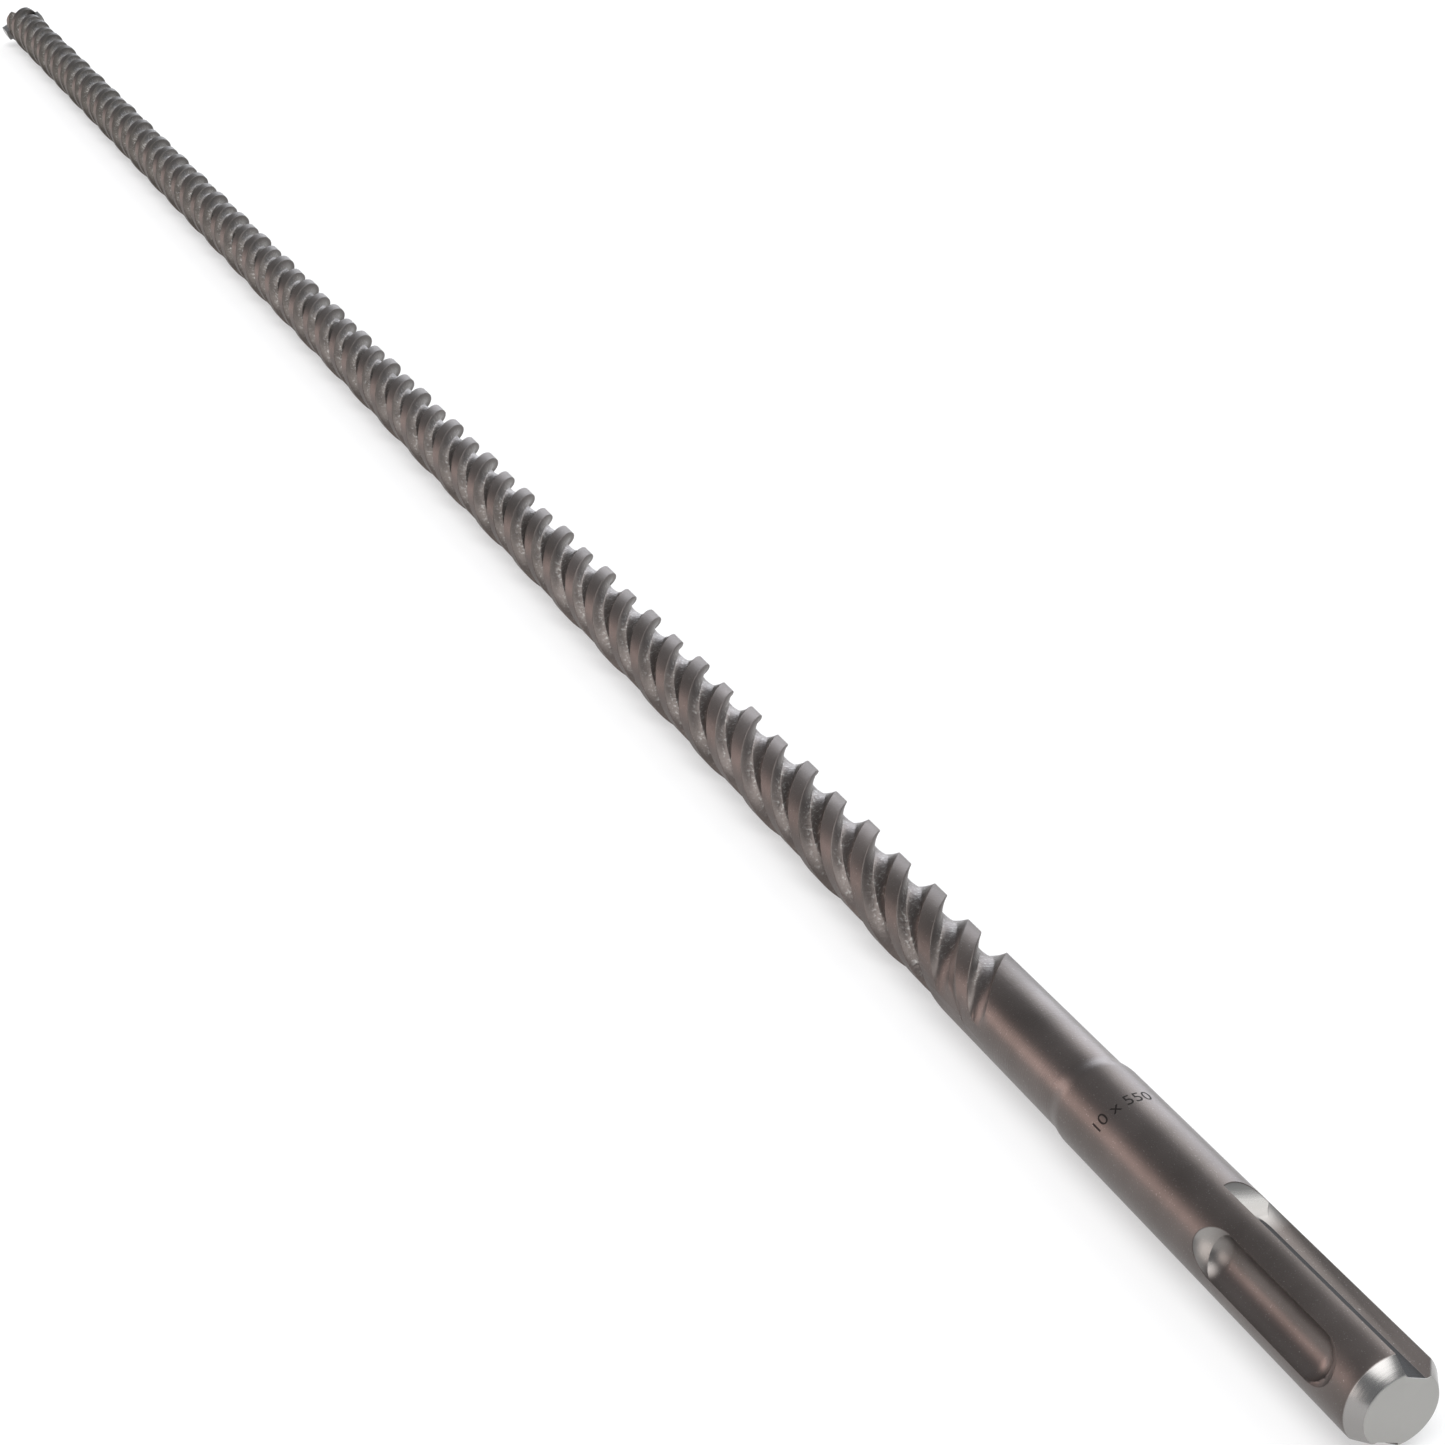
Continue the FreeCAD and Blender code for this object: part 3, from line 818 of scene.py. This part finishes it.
    # relief: blasted grain everywhere, pits in the flutes, and turning marks, strongest on the neck
    grain = add(tree, "ShaderNodeTexNoise", Vector=place, Scale=1 / BLASTED_GRAIN, Detail=2.0)
    strength = add(tree, "ShaderNodeMapRange", _0=smooth.outputs[0], _3=GRAIN_STRENGTH[0],
                   _4=GRAIN_STRENGTH[1])
    fine = add(tree, "ShaderNodeBump", Strength=strength.outputs[0], Distance=GRAIN_HEIGHT,
               Height=grain.outputs[0])
    coarse = add(tree, "ShaderNodeBump", Strength=floor.outputs[0], Distance=PIT_HEIGHT,
                 Height=pits.outputs[0], Normal=fine.outputs[0])
    lines = add(tree, "ShaderNodeMath", {"operation": "MULTIPLY"}, _0=x, _1=1 / TURNING_FEED)
    rings = add(tree, "ShaderNodeTexNoise", {"noise_dimensions": "1D"}, W=lines.outputs[0], Scale=1.0,
                Detail=2.0)
    turned = add(tree, "ShaderNodeMapRange", _0=x, _1=along(TURNED_FROM[0]), _2=along(TURNED_FROM[1]),
                 _3=MARK_STRENGTH[0], _4=MARK_STRENGTH[1])
    marks = add(tree, "ShaderNodeBump", Strength=turned.outputs[0], Distance=MARK_HEIGHT,
                Height=rings.outputs[0], Normal=coarse.outputs[0])
    surface = add(tree, "ShaderNodeBsdfPrincipled", Base_Color=colour.outputs[2], Metallic=1.0,
                  Roughness=roughness.outputs[0], Normal=marks.outputs[0])
    tree.links.new(surface.outputs[0], output.inputs[0])
    return material


def carbide(colours):
    """Sintered carbide with ground edges. It gives the eye an even satin grey, paler than the steel."""
    material, tree, output = new_material("Sintered carbide")
    place = add(tree, "ShaderNodeTexCoord").outputs["Object"]
    grain = add(tree, "ShaderNodeTexNoise", Vector=place, Scale=1 / CARBIDE_GRAIN, Detail=2.0)
    bump = add(tree, "ShaderNodeBump", Strength=CARBIDE_STRENGTH, Distance=CARBIDE_HEIGHT,
               Height=grain.outputs[0])
    surface = add(tree, "ShaderNodeBsdfPrincipled", Base_Color=tuple(colours.carbide), Metallic=1.0,
                  Roughness=CARBIDE_ROUGHNESS, Normal=bump.outputs[0])
    tree.links.new(surface.outputs[0], output.inputs[0])
    return material


def etching(colours):
    """Etched steel. It gives the eye matt letters, darker than the skin around them."""
    material, tree, output = new_material("Etched steel")
    surface = add(tree, "ShaderNodeBsdfPrincipled", Base_Color=tuple(colours.etched), Metallic=1.0,
                  Roughness=ETCHED_ROUGHNESS)
    tree.links.new(surface.outputs[0], output.inputs[0])
    return material


def pale_floor(colours):
    """Matt white card. The camera and the metal's reflections see it half as plain white, so that the
    background is white and the bit's shadow stays, faintly."""
    material, tree, output = new_material("Pale card")
    surface = add(tree, "ShaderNodeBsdfPrincipled", Base_Color=tuple(colours.floor),
                  Roughness=CARD_ROUGHNESS)
    white = add(tree, "ShaderNodeEmission", Color=WHITE, Strength=1.0)
    path = add(tree, "ShaderNodeLightPath")
    seen = path.outputs["Is Camera Ray"]
    for ray in ("Is Glossy Ray", "Is Transmission Ray"):
        seen = add(tree, "ShaderNodeMath", {"operation": "MAXIMUM"}, _0=seen, _1=path.outputs[ray]).outputs[0]
    share = add(tree, "ShaderNodeMath", {"operation": "MULTIPLY"}, _0=seen, _1=WHITE_SHARE)
    mix = add(tree, "ShaderNodeMixShader", _0=share.outputs[0], _1=surface.outputs[0], _2=white.outputs[0])
    tree.links.new(mix.outputs[0], output.inputs[0])
    return material


# Operators

class BIT_OT_body(bpy.types.Operator):
    """Build the steel body: shank, neck, fluted rod and head"""
    bl_idname = "bit.build_body"
    bl_label = "Build steel body"

    def execute(self, context):
        scene = context.scene
        shank, flutes, tip = scene.bit_shank, scene.bit_flutes, scene.bit_tip
        start = flutes.long_end - RUNOUT_MARGIN
        whole = flutes.whole_from + RUNOUT_MARGIN
        turns = int(2 * (POINT - SHANK_END - HEAD_LENGTH - whole) / flutes.lead)
        body = joined([
            shank_mesh(shank, along(start)),
            runout_mesh(shank, flutes, start, whole),
            rod_mesh(shank, flutes, whole, turns),
            head_mesh(shank, flutes, tip, whole + turns * flutes.lead / 2),
        ])
        bmesh.ops.recalc_face_normals(body, faces=body.faces)
        thing = shown(body, "bit_body", tempered_steel(scene.bit_colours))
        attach(thing, "root")
        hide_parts("drill_body")
        return {"FINISHED"}


class BIT_OT_tip(bpy.types.Operator):
    """Build the carbide plate across the head"""
    bl_idname = "bit.build_tip"
    bl_label = "Build carbide plate"

    def execute(self, context):
        scene = context.scene
        tip = scene.bit_tip
        slab, disc = bmesh.new(), bmesh.new()
        bmesh.ops.create_cube(slab, size=1.0)
        bmesh.ops.scale(slab, verts=slab.verts, vec=(2 * tip.height, tip.thickness, 2 * tip.width))
        bmesh.ops.translate(slab, verts=slab.verts, vec=(POINT, 0, 0))
        ends = [around(tip.width / 2, 0.0, POINT + side * 2 * tip.height) for side in (-1, 1)]
        lathed(disc, chain(disc, ends), 2 * ROUND_STEPS)
        bm = carved(slab, [closed_up(disc)], "INTERSECT")
        for side in (1, -1):
            normal = (1.0, side * math.tan(tip.relief), side / math.tan(tip.point / 2))
            bmesh.ops.bisect_plane(bm, geom=list(bm.verts) + list(bm.edges) + list(bm.faces),
                                   clear_outer=True, plane_co=(POINT, 0, 0), plane_no=normal, dist=DOUBLES)
            bmesh.ops.holes_fill(bm, edges=bm.edges)
        bmesh.ops.recalc_face_normals(bm, faces=bm.faces)
        rounded(bm, [e for e in bm.edges if e.calc_face_angle(0.0) > SHARP], PLATE_ROUNDING)
        turn = Matrix.Rotation(tip.angle, 3, AXIS)
        bmesh.ops.rotate(bm, verts=bm.verts, cent=(0, 0, 0), matrix=turn)
        bmesh.ops.recalc_face_normals(bm, faces=bm.faces)
        thing = shown(bm, "bit_plate", carbide(scene.bit_colours))
        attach(thing, "root")
        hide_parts("carbide_tip")
        return {"FINISHED"}


class BIT_OT_mark(bpy.types.Operator):
    """Etch the bit's size into the shank"""
    bl_idname = "bit.build_mark"
    bl_label = "Build size mark"

    def execute(self, context):
        scene = context.scene
        mark, radius = scene.bit_mark, scene.bit_shank.diameter / 2 + MARK_RELIEF
        curve = bpy.data.curves.new("mark", "FONT")
        curve.body = mark.text
        curve.size = mark.height
        curve.align_x = "CENTER"
        letters = bpy.data.objects.new("letters", curve)
        scene.collection.objects.link(letters)
        shape = letters.evaluated_get(context.evaluated_depsgraph_get())
        bm = bmesh.new()
        bm.from_mesh(shape.to_mesh())
        shape.to_mesh_clear()
        bpy.data.objects.remove(letters)
        bpy.data.curves.remove(curve)
        low, high = min(v.co.x for v in bm.verts), max(v.co.x for v in bm.verts)
        cuts = int((high - low) / MARK_STEP)
        for k in range(1, cuts):
            bmesh.ops.bisect_plane(bm, geom=list(bm.verts) + list(bm.edges) + list(bm.faces), dist=DOUBLES,
                                   plane_co=(low + (high - low) * k / cuts, 0, 0), plane_no=(1, 0, 0))
        for v in bm.verts:
            v.co = around(radius, mark.angle + v.co.x / radius, along(mark.place) + v.co.y)
        bmesh.ops.recalc_face_normals(bm, faces=bm.faces)
        thing = shown(bm, "bit_mark", etching(scene.bit_colours))
        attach(thing, "root")
        return {"FINISHED"}


class BIT_OT_stage(bpy.types.Operator):
    """Set the floor, the lights and the camera"""
    bl_idname = "bit.build_stage"
    bl_label = "Build stage"

    def execute(self, context):
        scene = context.scene
        stage = scene.bit_stage
        bm = bmesh.new()
        bmesh.ops.create_grid(bm, x_segments=1, y_segments=1, size=FLOOR_SIZE)
        bmesh.ops.translate(bm, verts=bm.verts, vec=(0, 0, BODY_LOW[2]))
        floor = shown(bm, "floor", pale_floor(scene.bit_colours))

        world = bpy.data.worlds.new("Studio")
        scene.world = world
        world.use_nodes = True
        tree = world.node_tree
        tree.nodes.clear()
        way = add(tree, "ShaderNodeTexCoord").outputs["Generated"]
        studio = add(tree, "ShaderNodeBackground", Color=linear(ROOM_COLOUR),
                     Strength=ROOM_STRENGTH).outputs[0]
        for name, towards, outer, inner, strength, colour in SOFTBOXES:
            near = add(tree, "ShaderNodeVectorMath", {"operation": "DOT_PRODUCT"}, _0=way,
                       _1=Vector(towards).normalized())
            power = add(tree, "ShaderNodeMapRange", {"label": name}, _0=near.outputs["Value"],
                        _1=outer, _2=inner, _4=strength)
            box = add(tree, "ShaderNodeBackground", Color=linear(colour), Strength=power.outputs[0])
            studio = add(tree, "ShaderNodeAddShader", _0=studio, _1=box.outputs[0]).outputs[0]

        # only the camera sees the white: these soft boxes are the lamps, and the steel has to mirror them
        white = add(tree, "ShaderNodeBackground", Color=WHITE, Strength=1.0)
        path = add(tree, "ShaderNodeLightPath")
        mix = add(tree, "ShaderNodeMixShader", _0=path.outputs["Is Camera Ray"], _1=studio,
                  _2=white.outputs[0])
        output = add(tree, "ShaderNodeOutputWorld")
        tree.links.new(mix.outputs[0], output.inputs[0])

        data = bpy.data.cameras.new("Camera")
        data.sensor_width = SENSOR_WIDTH
        data.lens = stage.lens
        data.clip_start = CLIP_START
        camera = bpy.data.objects.new("Camera", data)
        camera.location = (SHANK_END - stage.camera_back, stage.camera_side, stage.camera_up)
        camera.rotation_euler = Vector(VIEW_DIRECTION).to_track_quat("-Z", "Y").to_euler()
        scene.collection.objects.link(camera)
        scene.camera = camera
        scene.view_settings.view_transform = "Standard"
        return {"FINISHED"}


class BIT_PT_panel(bpy.types.Panel):
    """Buttons that build the bit and its stage"""
    bl_label = "Drill Bit"
    bl_idname = "BIT_PT_panel"
    bl_space_type = "VIEW_3D"
    bl_region_type = "UI"
    bl_category = "Drill Bit"

    def draw(self, context):
        for operator in OPERATORS:
            self.layout.operator(operator.bl_idname)
        for group in GROUPS:
            box = self.layout.box()
            for name in GROUPS[group].__annotations__:
                box.prop(getattr(context.scene, group), name)


GROUPS = {
    "bit_shank": ShankSizes,
    "bit_flutes": FluteSizes,
    "bit_tip": TipSizes,
    "bit_mark": MarkSizes,
    "bit_stage": StageSizes,
    "bit_colours": FinishColours,
}
OPERATORS = (BIT_OT_body, BIT_OT_tip, BIT_OT_mark, BIT_OT_stage)


def register():
    """Add the classes, and the settings to the scene."""
    for group in GROUPS.values():
        bpy.utils.register_class(group)
    for name, group in GROUPS.items():
        setattr(bpy.types.Scene, name, PointerProperty(type=group))
    for operator in OPERATORS + (BIT_PT_panel,):
        bpy.utils.register_class(operator)


def unregister():
    """Take them away again."""
    for operator in OPERATORS + (BIT_PT_panel,):
        bpy.utils.unregister_class(operator)
    for name, group in GROUPS.items():
        delattr(bpy.types.Scene, name)
        bpy.utils.unregister_class(group)


def main():
    """Build everything."""
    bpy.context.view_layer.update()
    register()
    bpy.ops.bit.build_body()
    bpy.ops.bit.build_tip()
    bpy.ops.bit.build_mark()
    bpy.ops.bit.build_stage()


if __name__ == "__main__":
    main()
